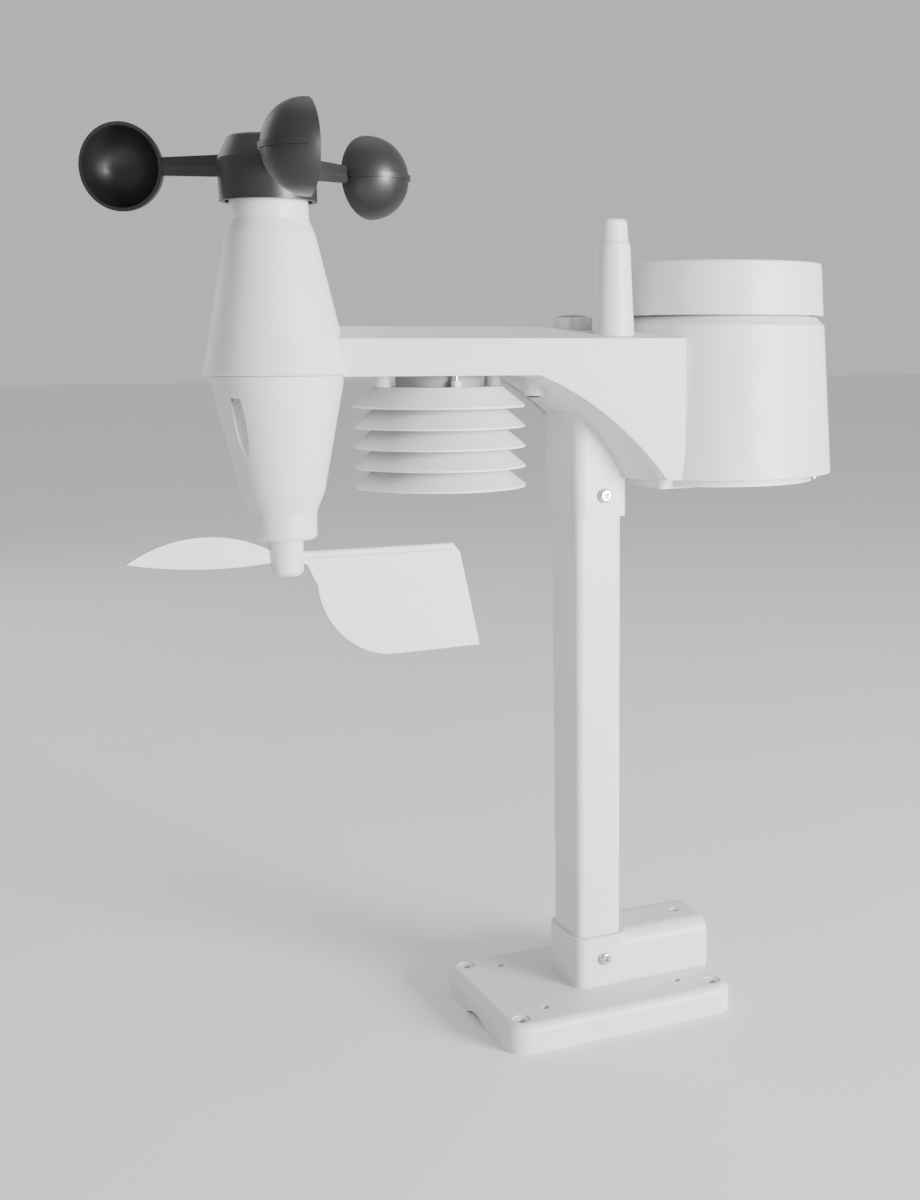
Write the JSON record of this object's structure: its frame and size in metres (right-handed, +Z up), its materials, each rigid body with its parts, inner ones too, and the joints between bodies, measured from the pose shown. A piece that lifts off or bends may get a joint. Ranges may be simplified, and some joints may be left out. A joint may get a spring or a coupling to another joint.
{
  "type": "home weather station",
  "caption": "Outdoor weather sensor on a pole and screw-down base: spinning cups, wind vane, louvred shield and tipping rain gauge.",
  "frame": {"origin": "on the pole axis, at the underside of the mounting plate", "axes": "+X along the arm towards the rain gauge, +Y to the back (the side with the nuts), +Z up"},
  "size_m": [0.3219, 0.1303, 0.3935],
  "materials": {
    "housing": "fine satin moulded grain, light grey",
    "rotor": "satin charcoal",
    "steel": "plated",
    "bearing": "ground",
    "magnet": "sintered ferrite",
    "board": "solder mask",
    "black_plastic": "matt black",
    "antenna_wire": "drawn wire",
    "vial": "clear, tinted liquid",
    "lens": "translucent",
    "cell": "printed sleeve",
    "contact": "nickel plated",
    "seal": "foam"
  },
  "bodies": {
    "stand": {"upper_housing": "housing", "lower_housing": "housing", "wind_sensor_lower_cone": "housing", "louvre_1": "housing", "louvre_2": "housing", "louvre_3": "housing", "louvre_4": "housing", "louvre_5": "housing", "antenna_cover": "housing", "level_ring": "housing", "mounting_base": "housing", "mounting_pole": "housing", "pole_bolts": "steel", "pole_nuts": "steel", "housing_screws": "steel", "cone_screws": "steel", "shield_screws": "steel", "rotor_bearings": "bearing", "vane_bearings": "bearing", "wind_speed_board": "board", "wind_direction_board": "board", "thermo_hygro_board": "board", "main_circuit_board": "board", "rain_switch_board": "board", "board_holders": "black_plastic", "sensor_shroud": "black_plastic", "tipper_frame": "black_plastic", "battery_box": "black_plastic", "button_switch": "black_plastic", "antenna_rod": "antenna_wire", "level_vial": "vial", "status_light": "lens", "battery_cells": "cell", "battery_contacts": "contact"},
    "rotor": {"cup_hub": "rotor", "wind_cup_1": "rotor", "wind_cup_2": "rotor", "wind_cup_3": "rotor", "rotor_shaft": "steel", "rotor_screw": "steel", "rotor_magnet": "magnet"},
    "vane": {"wind_vane": "housing", "vane_shaft": "steel", "vane_screw": "steel", "vane_magnet": "magnet"},
    "collector": {"rain_collector": "housing"},
    "tipper": {"tipping_bucket": "black_plastic", "tipper_axle": "steel", "tipper_magnet": "magnet"},
    "button": {"reset_button": "black_plastic"},
    "door": {"battery_door": "housing", "battery_door_seal": "seal", "battery_door_screw": "steel", "door_contacts": "contact"}
  },
  "joints": [
    {"name": "cup_rotor_spin", "type": "hinge", "parent": "stand", "child": "rotor", "pos_m": [-0.1373, 0, 0.37], "axis": [0, 0, 1], "continuous": true},
    {"name": "vane_spin", "type": "hinge", "parent": "stand", "child": "vane", "pos_m": [-0.1373, 0, 0.24], "axis": [0, 0, 1], "continuous": true},
    {"name": "collector_lift", "type": "slide", "parent": "stand", "child": "collector", "axis": [0, 0, 1], "range_m": [0, 0.03]},
    {"name": "tipper_tilt", "type": "hinge", "parent": "stand", "child": "tipper", "pos_m": [0.0646, 0, 0.27], "axis": [1, 0, 0], "range_deg": [0, 28.08]},
    {"name": "reset_button_press", "type": "slide", "parent": "stand", "child": "button", "axis": [0, 0, 1], "range_m": [0, 0.0008], "stiffness_N_per_m": 300, "springref_m": -0.0015},
    {"name": "battery_door_release", "type": "slide", "parent": "stand", "child": "door", "axis": [0, 0, -1], "range_m": [0, 0.02]}
  ]
}
